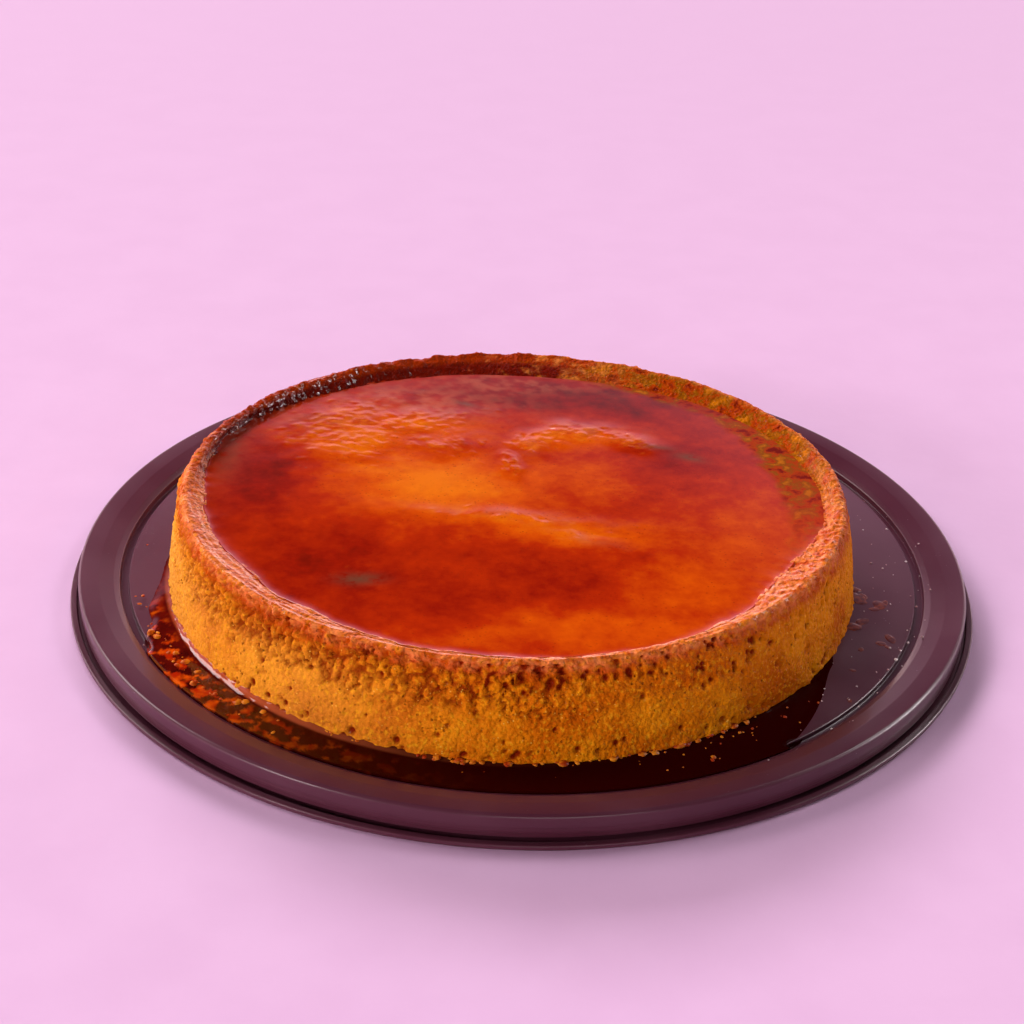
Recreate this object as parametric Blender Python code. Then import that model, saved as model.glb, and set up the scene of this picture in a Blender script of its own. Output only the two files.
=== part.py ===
"""A leche flan on its round cake plate, with the caramel on top and the syrup round its foot.

Metres, +Z up, the origin on the ground under the middle of the plate. The front of the dish is -Y.
"""

import math

import bmesh
import bpy

GAP = 0.0003                     # left between pieces that touch, so that their faceted skins stay apart

# Plate: a moulded disc with a lip, a deep line under the skirt, a sloping rim and a groove round its field
PLATE_RADIUS = 0.150
LIP_HEIGHT = 0.0020
LINE_RADIUS = 0.1450
LINE_TOP = 0.0027
SKIRT_RADIUS = 0.1470
SHOULDER_RADIUS = 0.1463
SHOULDER_HEIGHT = 0.0098
RIM_INNER_RADIUS = 0.1338
RIM_INNER_HEIGHT = 0.0067
GROOVE_INNER_RADIUS = 0.1309
GROOVE_HEIGHT = 0.0049
FIELD_HEIGHT = 0.0064
PLATE_STEPS = 96

# Flan: turned out of a round pan, so it is widest at its foot
FLAN_X = -0.0037
FLAN_Y = -0.0079
FOOT_RADIUS = 0.1129
FLAN_FOOT = FIELD_HEIGHT + GAP
CREST_RADIUS = 0.1067            # mean radius of the rim's crest
CREST_OVAL = 0.0014              # how much wider than deep the top is, as a radius
CARAMEL_LEVEL = 0.0345
CREST_RISE = 0.00245             # height of the crest over the caramel, before the two below
CREST_LEAN = 0.00105             # the rim stands this much higher at the back and lower at the front
CREST_FLANKS = 0.0012            # and this much higher at its left and right
DISH_DEPTH = 0.0030
SHORE_RADIUS = 0.0985            # where the caramel meets the rim, before the banks and bays below
FLAN_STEPS = 96

# Banks (negative) and bays (positive) of the shore: middle and half width in degrees, and reach
SHORE_BANKS = (
    (5, 34, 0.0024),
    (86, 38, -0.0070),
    (160, 18, 0.0045),
    (-137, 18, -0.0022),
    (-72, 20, 0.0028),
    (-30, 13, -0.0050),
)

# Syrup round the foot, held by the groove in front and ending in two round tongues
SYRUP_LEVEL = 0.0073
SYRUP_OUTER_RADIUS = 0.1335
SYRUP_START = -182.0             # degrees, on the left
SYRUP_END = -36.0                # degrees, on the right
SYRUP_TONGUE = 20.0              # degrees over which an end widens to the full reach
SYRUP_STEPS = 56


def clear_scene():
    for old in list(bpy.data.objects):
        bpy.data.objects.remove(old, do_unlink=True)


def finish(name, colour, roughness, coat=0.0):
    material = bpy.data.materials.new(name)
    material.use_nodes = True
    shader = material.node_tree.nodes["Principled BSDF"]
    shader.inputs["Base Color"].default_value = (*colour, 1.0)
    shader.inputs["Roughness"].default_value = roughness
    shader.inputs["Metallic"].default_value = 0.0
    shader.inputs["Coat Weight"].default_value = coat
    return material


def add_piece(name, bm, material, crease_degrees=40.0):
    bmesh.ops.recalc_face_normals(bm, faces=bm.faces)
    mesh = bpy.data.meshes.new(name)
    bm.to_mesh(mesh)
    bm.free()
    if material is not None:
        mesh.materials.append(material)
    mesh.shade_smooth()
    mesh.set_sharp_from_angle(angle=math.radians(crease_degrees))
    piece = bpy.data.objects.new(name, mesh)
    bpy.context.collection.objects.link(piece)
    return piece


def turned(profile, steps):
    """Spin a profile of (radius, height) that starts and ends on the axis."""
    bm = bmesh.new()
    points = [bm.verts.new((radius, 0.0, height)) for radius, height in profile]
    edges = [bm.edges.new(pair) for pair in zip(points, points[1:])]
    bmesh.ops.spin(bm, geom=points + edges, cent=(0, 0, 0), axis=(0, 0, 1),
                   angle=math.tau, steps=steps, use_merge=True)
    bmesh.ops.remove_doubles(bm, verts=bm.verts, dist=1e-6)
    return bm


def lofted(sections, centre, foot_height, top_height):
    """Skin a ring of upright sections, each a list of (radius, height), and close it at both poles."""
    bm = bmesh.new()
    cx, cy = centre
    columns = []
    for angle, section in sections:
        across, along = math.cos(angle), math.sin(angle)
        columns.append([bm.verts.new((cx + radius * across, cy + radius * along, height))
                        for radius, height in section])
    foot = bm.verts.new((cx, cy, foot_height))
    top = bm.verts.new((cx, cy, top_height))
    for here, there in zip(columns, columns[1:] + columns[:1]):
        bm.faces.new((foot, there[0], here[0]))
        for low in range(len(here) - 1):
            bm.faces.new((here[low], there[low], there[low + 1], here[low + 1]))
        bm.faces.new((here[-1], there[-1], top))
    return bm


def angles(steps):
    return [math.tau * step / steps for step in range(steps)]


def turn_between(angle, middle_degrees):
    """The smallest turn from one direction to another, in degrees."""
    turn = math.degrees(angle) - middle_degrees
    return (turn + 180.0) % 360.0 - 180.0


def crest_radius(angle):
    return CREST_RADIUS + CREST_OVAL * math.cos(2 * angle)


def crest_height(angle):
    return CARAMEL_LEVEL + CREST_RISE + CREST_LEAN * math.sin(angle) + CREST_FLANKS * math.cos(angle) ** 2


def shore_radius(angle):
    radius = SHORE_RADIUS
    for middle, half_width, reach in SHORE_BANKS:
        radius += reach * math.exp(-(turn_between(angle, middle) / half_width) ** 2)
    return radius


def dish_height(inland):
    """Height of the custard under the caramel, this far in from the shore."""
    slope_run = 0.012
    share = min(1.0, inland / slope_run)
    return CARAMEL_LEVEL - DISH_DEPTH * math.sin(0.5 * math.pi * share)


def plate_profile():
    return [
        (0.0, 0.0),
        (PLATE_RADIUS - 0.0015, 0.0),
        (PLATE_RADIUS - 0.0003, 0.0005),
        (PLATE_RADIUS, 0.0013),
        (PLATE_RADIUS - 0.0001, 0.0021),
        (PLATE_RADIUS - 0.0007, LIP_HEIGHT),
        (LINE_RADIUS, LIP_HEIGHT),
        (LINE_RADIUS, LINE_TOP),
        (SKIRT_RADIUS - 0.0003, LINE_TOP + 0.0001),
        (SKIRT_RADIUS, LINE_TOP + 0.0006),
        (SKIRT_RADIUS, SHOULDER_HEIGHT - 0.0013),
        (SKIRT_RADIUS - 0.0002, SHOULDER_HEIGHT - 0.0006),
        (SHOULDER_RADIUS, SHOULDER_HEIGHT - 0.0001),
        (SHOULDER_RADIUS - 0.0008, SHOULDER_HEIGHT),
        (SHOULDER_RADIUS - 0.0040, SHOULDER_HEIGHT - 0.0003),
        (SHOULDER_RADIUS - 0.0070, SHOULDER_HEIGHT - 0.0009),
        (RIM_INNER_RADIUS + 0.0020, RIM_INNER_HEIGHT + 0.0013),
        (RIM_INNER_RADIUS + 0.0006, RIM_INNER_HEIGHT + 0.0007),
        (RIM_INNER_RADIUS, RIM_INNER_HEIGHT - 0.0001),
        (RIM_INNER_RADIUS - 0.0002, GROOVE_HEIGHT),
        (GROOVE_INNER_RADIUS + 0.0002, GROOVE_HEIGHT),
        (GROOVE_INNER_RADIUS, FIELD_HEIGHT - 0.0003),
        (GROOVE_INNER_RADIUS - 0.0006, FIELD_HEIGHT),
        (0.0, FIELD_HEIGHT),
    ]


def make_plate(material):
    return add_piece("plate", turned(plate_profile(), PLATE_STEPS), material, 25.0)


def flan_section(angle):
    """Out along the foot, up the side, over the crest and down into the dish."""
    crest = crest_radius(angle)
    top = crest_height(angle)
    shore = shore_radius(angle)
    foot = FLAN_FOOT
    belly = 0.5 * (FOOT_RADIUS + crest) + 0.0006
    bank = 0.45 * shore + 0.55 * (crest - 0.0035)
    section = [
        (0.50 * FOOT_RADIUS, foot),
        (FOOT_RADIUS - 0.0022, foot),
        (FOOT_RADIUS, foot + 0.0018),
        (FOOT_RADIUS - 0.0010, foot + 0.0065),
        (belly, 0.5 * (foot + top)),
        (crest + 0.0016, top - 0.0050),
        (crest + 0.0009, top - 0.0014),
        (crest - 0.0012, top - 0.0001),
        (crest - 0.0038, top - 0.0004),
        (bank, 0.5 * (top + CARAMEL_LEVEL)),
        (shore, CARAMEL_LEVEL),
    ]
    for inland in (0.0014, 0.004, 0.008, 0.012):
        section.append((shore - inland, dish_height(inland)))
    section.append((0.5 * shore, dish_height(0.012)))
    return section


def make_flan(material):
    sections = [(angle, flan_section(angle)) for angle in angles(FLAN_STEPS)]
    shape = lofted(sections, (FLAN_X, FLAN_Y), FLAN_FOOT, dish_height(0.012))
    return add_piece("flan", shape, material, 50.0)


def pool_section(angle):
    shore = shore_radius(angle)
    lift = GAP + 0.00005
    section = [(0.5 * shore, dish_height(0.012) + lift)]
    for inland in (0.012, 0.008, 0.004, 0.0016):
        section.append((shore - inland, dish_height(inland) + lift))
    section.append((shore - 0.0016, CARAMEL_LEVEL))
    section.append((0.5 * shore, CARAMEL_LEVEL))
    return section


def make_caramel_pool(material):
    sections = [(angle, pool_section(angle)) for angle in angles(FLAN_STEPS)]
    under = dish_height(0.012) + GAP + 0.00005
    shape = lofted(sections, (FLAN_X, FLAN_Y), under, CARAMEL_LEVEL)
    return add_piece("caramel_pool", shape, material, 50.0)


def smooth_step(share):
    share = min(1.0, max(0.0, share))
    return share * share * (3.0 - 2.0 * share)


def syrup_outline():
    """Corners of the syrup from above: back along the flan's foot and out along the plate's groove."""
    inner, outer = [], []
    inner_radius = FOOT_RADIUS + GAP + 0.0001
    for step in range(SYRUP_STEPS + 1):
        degrees = SYRUP_START + (SYRUP_END - SYRUP_START) * step / SYRUP_STEPS
        angle = math.radians(degrees)
        near_x = FLAN_X + inner_radius * math.cos(angle)
        near_y = FLAN_Y + inner_radius * math.sin(angle)
        bearing = math.atan2(near_y, near_x)
        reach = min(smooth_step((degrees - SYRUP_START) / SYRUP_TONGUE + 0.08),
                    smooth_step((SYRUP_END - degrees) / SYRUP_TONGUE + 0.08))
        near_radius = math.hypot(near_x, near_y)
        far_radius = near_radius + reach * (SYRUP_OUTER_RADIUS - near_radius)
        inner.append((near_x, near_y))
        outer.append((far_radius * math.cos(bearing), far_radius * math.sin(bearing)))
    return inner + outer[::-1]


def bed_cutter():
    """The plate's hollow grown by the gap: what it fills is taken off the underside of the syrup."""
    profile = [
        (0.0, 0.0),
        (PLATE_RADIUS, 0.0),
        (PLATE_RADIUS, SHOULDER_HEIGHT),
        (RIM_INNER_RADIUS + 0.0002, RIM_INNER_HEIGHT + 0.0010),
        (RIM_INNER_RADIUS - GAP, RIM_INNER_HEIGHT),
        (RIM_INNER_RADIUS - 0.0002 - GAP, GROOVE_HEIGHT + GAP),
        (GROOVE_INNER_RADIUS + 0.0002 + GAP, GROOVE_HEIGHT + GAP),
        (GROOVE_INNER_RADIUS + GAP, FIELD_HEIGHT),
        (GROOVE_INNER_RADIUS - 0.0005, FIELD_HEIGHT + GAP),
        (0.0, FIELD_HEIGHT + GAP),
    ]
    cutter = add_piece("syrup_bed_cutter", turned(profile, PLATE_STEPS), None)
    cutter.hide_render = True
    cutter.display_type = "WIRE"
    return cutter


def make_syrup_puddle(material):
    bm = bmesh.new()
    corners = [bm.verts.new((x, y, GROOVE_HEIGHT - 0.001)) for x, y in syrup_outline()]
    sheet = bm.faces.new(corners)
    raised = bmesh.ops.extrude_face_region(bm, geom=[sheet])["geom"]
    lifted = [item for item in raised if isinstance(item, bmesh.types.BMVert)]
    bmesh.ops.translate(bm, verts=lifted, vec=(0, 0, SYRUP_LEVEL - GROOVE_HEIGHT + 0.001))
    puddle = add_piece("syrup_puddle", bm, material)
    cut = puddle.modifiers.new("fit to plate", "BOOLEAN")
    cut.operation = "DIFFERENCE"
    cut.solver = "EXACT"
    cut.object = bed_cutter()
    return puddle


clear_scene()
make_plate(finish("aubergine_plastic", (0.060, 0.028, 0.048), 0.22, 0.3))
make_flan(finish("baked_custard", (0.62, 0.27, 0.03), 0.45))
make_caramel_pool(finish("caramel", (0.50, 0.06, 0.005), 0.06, 1.0))
make_syrup_puddle(finish("thin_syrup", (0.10, 0.008, 0.004), 0.06, 1.0))
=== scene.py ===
import math

import bpy
import numpy as np
from mathutils import Matrix, Vector, noise


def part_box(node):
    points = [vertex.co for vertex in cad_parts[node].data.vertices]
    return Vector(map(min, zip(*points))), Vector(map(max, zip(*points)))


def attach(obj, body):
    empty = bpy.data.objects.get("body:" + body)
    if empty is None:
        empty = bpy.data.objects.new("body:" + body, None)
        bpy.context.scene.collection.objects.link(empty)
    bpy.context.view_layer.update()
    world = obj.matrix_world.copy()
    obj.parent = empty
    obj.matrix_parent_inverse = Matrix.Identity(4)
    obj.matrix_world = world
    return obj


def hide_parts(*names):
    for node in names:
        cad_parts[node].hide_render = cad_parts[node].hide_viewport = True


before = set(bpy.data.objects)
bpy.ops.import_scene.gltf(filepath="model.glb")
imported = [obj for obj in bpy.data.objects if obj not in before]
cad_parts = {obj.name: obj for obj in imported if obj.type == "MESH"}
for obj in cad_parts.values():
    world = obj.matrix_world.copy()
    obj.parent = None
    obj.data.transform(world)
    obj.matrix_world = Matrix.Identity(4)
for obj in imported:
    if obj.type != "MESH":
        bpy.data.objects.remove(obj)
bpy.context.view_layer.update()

# ---------------------------------------------------------------- Cake plate
# One moulding of dark aubergine plastic. Its rim slopes in to a narrow groove that seats a lid,
# and under the skirt a deep line parts it from the lip that it stands on.

MM = 0.001
SEAT_GAP = 0.3 * MM
plate_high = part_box("plate")[1]
flan_low, flan_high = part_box("flan")
syrup_low, syrup_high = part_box("syrup_puddle")
PLATE_RADIUS = plate_high.x
SHOULDER = plate_high.z
FIELD = flan_low.z - SEAT_GAP
GROOVE_FLOOR = syrup_low.z - SEAT_GAP
RIM_EDGE_RADIUS = PLATE_RADIUS - 16.2 * MM
GROOVE_INNER_RADIUS = PLATE_RADIUS - 19.1 * MM
LIP = 2.0 * MM
SKIRT_RADIUS = PLATE_RADIUS - 3.0 * MM


def rounded(corners, cuts=4):
    """An outline from corners (radius, height, round), each round an arc that leaves its sides smoothly."""
    outline = []
    for place, (radius, height, fillet) in enumerate(corners):
        corner = Vector((radius, height))
        if fillet == 0:
            outline.append(corner)
            continue
        before = (Vector(corners[place - 1][:2]) - corner).normalized()
        after = (Vector(corners[place + 1][:2]) - corner).normalized()
        half = before.angle(after) / 2
        reach = fillet / math.tan(half)
        middle = corner + (before + after).normalized() * fillet / math.sin(half)
        start, end = corner + before * reach - middle, corner + after * reach - middle
        for cut in range(cuts + 1):
            share = cut / cuts
            spoke = start * (1 - share) + end * share
            outline.append(middle + spoke.normalized() * fillet)
    return [(point.x, point.y) for point in outline]


def turned(name, outline, steps):
    """A line of points (radius, height), drawn upright and turned round the upright axis."""
    bpy.ops.object.select_all(action="DESELECT")
    bpy.ops.mesh.primitive_plane_add(size=MM)
    piece = bpy.context.object
    piece.name = piece.data.name = name
    bpy.ops.object.mode_set(mode="EDIT")
    bpy.ops.mesh.select_mode(type="VERT")
    bpy.ops.mesh.select_all(action="SELECT")
    bpy.ops.mesh.merge(type="CENTER")
    # Out of edit mode and back, so that the points are numbered in the order they are drawn
    bpy.ops.object.mode_set(mode="OBJECT")
    bpy.ops.object.mode_set(mode="EDIT")
    bpy.ops.transform.translate(value=(outline[0][0], 0, outline[0][1]))
    for (radius, height), (next_radius, next_height) in zip(outline, outline[1:]):
        step = (next_radius - radius, 0, next_height - height)
        bpy.ops.mesh.extrude_vertices_move(TRANSFORM_OT_translate={"value": step})
    bpy.ops.object.mode_set(mode="OBJECT")
    turn = piece.modifiers.new("turn", "SCREW")
    turn.angle = math.tau
    turn.steps = turn.render_steps = steps
    turn.use_merge_vertices = True
    turn.merge_threshold = 1e-7
    turn.use_smooth_shade = True
    bpy.ops.object.modifier_apply(modifier="turn")
    return piece


def pick(piece):
    """Makes this piece the only one selected."""
    bpy.ops.object.select_all(action="DESELECT")
    piece.select_set(True)
    bpy.context.view_layer.objects.active = piece


def facing_out(piece, crease_degrees):
    """Turns every face outwards and shades the piece smooth, but for edges sharper than the crease."""
    pick(piece)
    bpy.ops.object.mode_set(mode="EDIT")
    bpy.ops.mesh.select_all(action="SELECT")
    bpy.ops.mesh.normals_make_consistent(inside=False)
    bpy.ops.object.mode_set(mode="OBJECT")
    bpy.ops.object.shade_smooth_by_angle(angle=math.radians(crease_degrees))


plate = turned("cake_plate", rounded([
    (0, 0, 0),
    (PLATE_RADIUS, 0, 1.0 * MM),
    (PLATE_RADIUS, LIP, 0.45 * MM),
    (PLATE_RADIUS - 2.0 * MM, LIP, 0.25 * MM),
    (PLATE_RADIUS - 2.2 * MM, LIP - 1.0 * MM, 0.3 * MM),
    (PLATE_RADIUS - 6.0 * MM, LIP - 1.0 * MM, 0.1 * MM),
    (PLATE_RADIUS - 6.0 * MM, LIP + 0.25 * MM, 0.1 * MM),
    (SKIRT_RADIUS - 0.25 * MM, LIP + 0.3 * MM, 0.2 * MM),
    (SKIRT_RADIUS - 0.20 * MM, LIP + 1.7 * MM, 0.15 * MM),
    (SKIRT_RADIUS - 0.08 * MM, LIP + 1.9 * MM, 0.15 * MM),
    (SKIRT_RADIUS - 0.05 * MM, LIP + 3.4 * MM, 0.15 * MM),
    (SKIRT_RADIUS, LIP + 3.6 * MM, 0.2 * MM),
    (SKIRT_RADIUS, SHOULDER, 1.1 * MM),
    (RIM_EDGE_RADIUS + 6.6 * MM, SHOULDER - 0.7 * MM, 4.0 * MM),
    (RIM_EDGE_RADIUS + 2.0 * MM, SHOULDER - 1.9 * MM, 2.0 * MM),
    (RIM_EDGE_RADIUS, SHOULDER - 2.9 * MM, 0.6 * MM),
    (RIM_EDGE_RADIUS - 0.2 * MM, GROOVE_FLOOR, 0.3 * MM),
    (GROOVE_INNER_RADIUS + 0.2 * MM, GROOVE_FLOOR, 0.3 * MM),
    (GROOVE_INNER_RADIUS, FIELD, 0.35 * MM),
    (0, FIELD, 0),
]), 320)
facing_out(plate, 40)


class Wire:
    """A socket in a material. Sums on it add the nodes that work them out."""

    def __init__(self, tree, socket=None):
        self.tree = tree
        self.socket = socket

    def node(self, kind, settings=(), inputs=(), output=0):
        """Adds a node: its settings first, then a value or a wire for each named or numbered socket."""
        made = self.tree.nodes.new(kind)
        for name, value in dict(settings).items():
            if name == "stops":
                made.color_ramp.elements.remove(made.color_ramp.elements[1])
                made.color_ramp.elements[0].position = value[0][0]
                made.color_ramp.elements[0].color = (*value[0][1], 1)
                for place, colour in value[1:]:
                    made.color_ramp.elements.new(place).color = (*colour, 1)
            else:
                setattr(made, name, value)
        for name, value in dict(inputs).items():
            if isinstance(value, Wire):
                self.tree.links.new(value.socket, made.inputs[name])
            else:
                made.inputs[name].default_value = value
        return Wire(self.tree, made.outputs[output])

    def maths(self, operation, *values):
        return self.node("ShaderNodeMath", {"operation": operation}, enumerate(values))

    def __add__(self, other):
        return self.maths("ADD", self, other)

    def __sub__(self, other):
        return self.maths("SUBTRACT", self, other)

    def __rsub__(self, other):
        return self.maths("SUBTRACT", other, self)

    def __mul__(self, other):
        return self.maths("MULTIPLY", self, other)

    __radd__ = __add__
    __rmul__ = __mul__

    def between(self, low, high):
        """0 below low and 1 above high, with a smooth step from one to the other."""
        return self.node("ShaderNodeMapRange", {"interpolation_type": "SMOOTHSTEP"},
                         {"Value": self, "From Min": low, "From Max": high})

    def blend(self, start, end):
        """The colour start where this is 0, and end where it is 1."""
        start, end = (value if isinstance(value, Wire) else (*value, 1) for value in (start, end))
        return self.node("ShaderNodeMix", {"data_type": "RGBA"}, {0: self, 6: start, 7: end}, 2)

    def speckle(self, size, detail=2.0, roughness=0.5, stretch=(1, 1, 1)):
        """Cloudy noise, 0 to 1, over lumps of this size, with this wire as its coordinates."""
        place = self.node("ShaderNodeVectorMath", {"operation": "MULTIPLY"}, {0: self, 1: stretch})
        return self.node("ShaderNodeTexNoise", {},
                         {"Vector": place, "Scale": 1 / size, "Detail": detail, "Roughness": roughness})

    def spots(self, size):
        """Distance from the middle of the nearest of many scattered spots, in spot sizes."""
        return self.node("ShaderNodeTexVoronoi", {}, {"Vector": self, "Scale": 1 / size}, "Distance")

    def painted(self, name):
        """A value that was painted on the piece's points under this name."""
        return self.node("ShaderNodeAttribute", {"attribute_name": name}, (), "Fac")

    def bumped(self, height, depth, after=None):
        """A normal that stands up where height is 1, by depth in metres."""
        inputs = {"Height": height, "Distance": depth, "Strength": 1.0}
        if after is not None:
            inputs["Normal"] = after
        return self.node("ShaderNodeBump", {}, inputs)


def finish_of(piece, name, **constants):
    """Puts a new finish on a piece, and gives its shader and the wire of the piece's own coordinates."""
    material = bpy.data.materials.new(name)
    material.use_nodes = True
    piece.data.materials.clear()
    piece.data.materials.append(material)
    shader = material.node_tree.nodes["Principled BSDF"]
    for socket, value in constants.items():
        shader.inputs[socket.replace("_", " ")].default_value = value
    place = Wire(material.node_tree).node("ShaderNodeTexCoord", (), (), "Object")
    return shader, place


def lead(shader, **wires):
    """Leads wires to the shader's sockets."""
    for socket, wire in wires.items():
        wire.tree.links.new(wire.socket, shader.inputs[socket.replace("_", " ")])


PLASTIC = (0.086, 0.019, 0.036)
PLASTIC_DULL = (0.104, 0.028, 0.048)
DUST = (0.30, 0.20, 0.26)

shader, place = finish_of(plate, "aubergine_plastic", Specular_IOR_Level=0.30, Coat_Weight=0.12,
                          Coat_Roughness=0.07)
handling = place.speckle(30 * MM, 4).between(0.35, 0.75)
scratches = place.speckle(0.9 * MM, 3, 0.7, (1, 0.12, 1)).between(0.62, 0.80)
dust = place.spots(2.6 * MM).between(0.10, 0.03) * place.speckle(12 * MM).between(0.5, 0.7)
lead(
    shader,
    Base_Color=dust.blend(handling.blend(PLASTIC, PLASTIC_DULL), DUST),
    Roughness=0.28 + handling * 0.10 + scratches * 0.08,
    Normal=place.bumped(place.speckle(2.5 * MM, 3), 0.012 * MM),
)
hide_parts("plate")
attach(plate, "root")

# ---------------------------------------------------------------- Flan
# Baked egg custard, turned out of a round pan that left it widest at its foot. The side tore
# and pitted as the pan came off, and the rim stands up soft and stained round the caramel.

FLAN_X = (flan_low.x + flan_high.x) / 2
FLAN_Y = (flan_low.y + flan_high.y) / 2
FOOT_RADIUS = (flan_high.x - flan_low.x) / 2
FOOT = flan_low.z
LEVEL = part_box("caramel_pool")[1].z
EDGE_RADIUS = FOOT_RADIUS - 6.2 * MM
EDGE_OVAL = 1.4 * MM
CREST_RISE = 2.45 * MM
CREST_LEAN = 1.05 * MM
CREST_FLANKS = 1.2 * MM
SHORE_RADIUS = FOOT_RADIUS - 14.4 * MM
SHORE_BANKS = (              # where it is, its half width in degrees, and its reach
    (5, 34, 2.4 * MM),
    (86, 38, -7.0 * MM),
    (160, 18, 4.5 * MM),
    (-137, 18, -2.2 * MM),
    (-72, 20, 2.8 * MM),
    (-30, 13, -5.0 * MM),
)


def bell(angle, middle, half_width):
    """1 at the middle direction, in degrees, falling off to both sides over the half width."""
    turn = (np.degrees(angle) - middle + 180) % 360 - 180
    return np.exp(-(turn / half_width) ** 2)


def smooth(value, low, high):
    share = np.clip((value - low) / (high - low), 0, 1)
    return share * share * (3 - 2 * share)


def edge_radius(angle):
    return EDGE_RADIUS + EDGE_OVAL * np.cos(2 * angle)


def crest_height(angle):
    return LEVEL + CREST_RISE + CREST_LEAN * np.sin(angle) + CREST_FLANKS * np.cos(angle) ** 2


def shore_radius(angle):
    reach = sum(reach * bell(angle, middle, half_width) for middle, half_width, reach in SHORE_BANKS)
    waves = lumps(np.stack([np.cos(angle), np.sin(angle), 0 * angle], axis=1), 0.15, 3)
    sway = 0.5 + 0.9 * smooth(-np.sin(angle + 0.25), -0.35, 0.15)
    return SHORE_RADIUS + reach + sway * waves * MM


def lumps(points, size, detail=1, stretch=(1, 1, 1)):
    """A random height of about -1 to 1 at each point, smooth over lumps of this size."""
    scaled = points * np.array(stretch) / size
    return np.array([noise.fractal(point, 1.0, 2.0, detail) for point in scaled.tolist()])


def pebbles(points, size, stretch=(1, 1, 1)):
    """At each point the distance to the middle of its pebble, and how far off the crack round it is."""
    scaled = points * np.array(stretch) / size
    found = np.array([noise.voronoi(point)[0][:2] for point in scaled.tolist()])
    return found[:, 0], found[:, 1] - found[:, 0]


def points_of(piece):
    points = np.empty(len(piece.data.vertices) * 3, np.float32)
    piece.data.vertices.foreach_get("co", points)
    return points.reshape(-1, 3).astype(float)


def reshape(piece, points):
    piece.data.vertices.foreach_set("co", points.astype(np.float32).ravel())
    piece.data.update()


def paint(piece, name, values):
    layer = piece.data.attributes.new(name, "FLOAT", "POINT")
    layer.data.foreach_set("value", np.asarray(values, np.float32).ravel())


FLAN_STEPS = 1080
RUNS = (2, 3, 5, 12, 12, 10, 6, 4, 4, 4, 12, 4, 4, 3)      # rows from each line round the flan to the next


def flan_lines(angle):
    """Radius and height of the lines round the flan, from under its foot to under the caramel."""
    edge, top, shore = edge_radius(angle), crest_height(angle), shore_radius(angle)

    def side(share, swell):
        return FOOT_RADIUS + (edge - FOOT_RADIUS) * share + swell, FOOT + (top - FOOT) * share

    lines = [
        (FOOT_RADIUS - 7.0 * MM, FOOT),
        (FOOT_RADIUS - 1.6 * MM, FOOT),
        (FOOT_RADIUS, FOOT + 1.1 * MM),
        (FOOT_RADIUS - 0.3 * MM, FOOT + 3.6 * MM),
        side(0.34, 0.7 * MM),
        side(0.60, 0.6 * MM),
        side(0.83, 0.3 * MM),
        (edge, top - 2.0 * MM),
        (edge - 0.5 * MM, top - 0.6 * MM),
        (edge - 1.9 * MM, top),
        (edge - 3.7 * MM, top - 0.5 * MM),
        (shore + 1.6 * MM, LEVEL + 0.6 * MM),
        (shore, LEVEL),
        (shore - 2.5 * MM, LEVEL - 0.9 * MM),
        (shore - 7.0 * MM, LEVEL - 2.0 * MM),
    ]
    return np.array([np.stack(np.broadcast_arrays(radius, height, angle)[:2]) for radius, height in lines])


def through(lines, runs):
    """Rows on smooth curves through the lines, with so many rows in each run."""
    padded = np.concatenate([lines[:1], lines, lines[-1:]])
    rows = []
    for place, cuts in enumerate(runs):
        before, start, end, after = padded[place:place + 4]
        for share in np.arange(cuts) / cuts:
            rows.append(0.5 * (2 * start + (end - before) * share
                               + (2 * before - 5 * start + 4 * end - after) * share ** 2
                               + (3 * start - before - 3 * end + after) * share ** 3))
    rows.append(lines[-1])
    return np.array(rows)


def round_grid(steps):
    return np.arange(steps) * math.tau / steps


angle = round_grid(FLAN_STEPS)
rows = through(flan_lines(angle), RUNS)
flan = turned("baked_flan", [(float(radius), float(height)) for radius, height in rows[:, :, 0]], FLAN_STEPS)

across = FLAN_X + rows[:, 0] * np.cos(angle)
along = FLAN_Y + rows[:, 0] * np.sin(angle)
skin = np.stack([across, along, rows[:, 1]], axis=2)
around = np.roll(skin, -1, axis=1) - np.roll(skin, 1, axis=1)
outward = np.cross(around, np.gradient(skin, axis=0))
outward /= np.linalg.norm(outward, axis=2, keepdims=True)

flat_skin = skin.reshape(-1, 3)
count_rows = len(rows)
turning = np.broadcast_to(angle, (count_rows, FLAN_STEPS)).ravel()
height = flat_skin[:, 2]
top = crest_height(turning)
up_side = (height - FOOT) / (top - FOOT)

# The rows at which the lines lie, and the zones between them
line_rows = np.concatenate([[0], np.cumsum(RUNS)])
UNDER_FOOT, FOOT_EDGE = line_rows[1:3]
HIGH_SIDE, RIM_EDGE, RIM_TURN, CREST, INNER_TURN, ABOVE_POOL, SHORE = line_rows[6:13]
row = np.repeat(np.arange(count_rows), FLAN_STEPS)
on_side = smooth(row, UNDER_FOOT, FOOT_EDGE) * (1 - smooth(row, RIM_EDGE, CREST))
on_rim = smooth(row, HIGH_SIDE, RIM_TURN)
above_pool = 1 - smooth(row, ABOVE_POOL, SHORE)
near_crest = 1 - smooth(row, CREST, INNER_TURN)
inner_side = smooth(row, RIM_TURN + 1, INNER_TURN) * above_pool
inner_wall = smooth(row, RIM_TURN + 1, INNER_TURN + 1)

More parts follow.
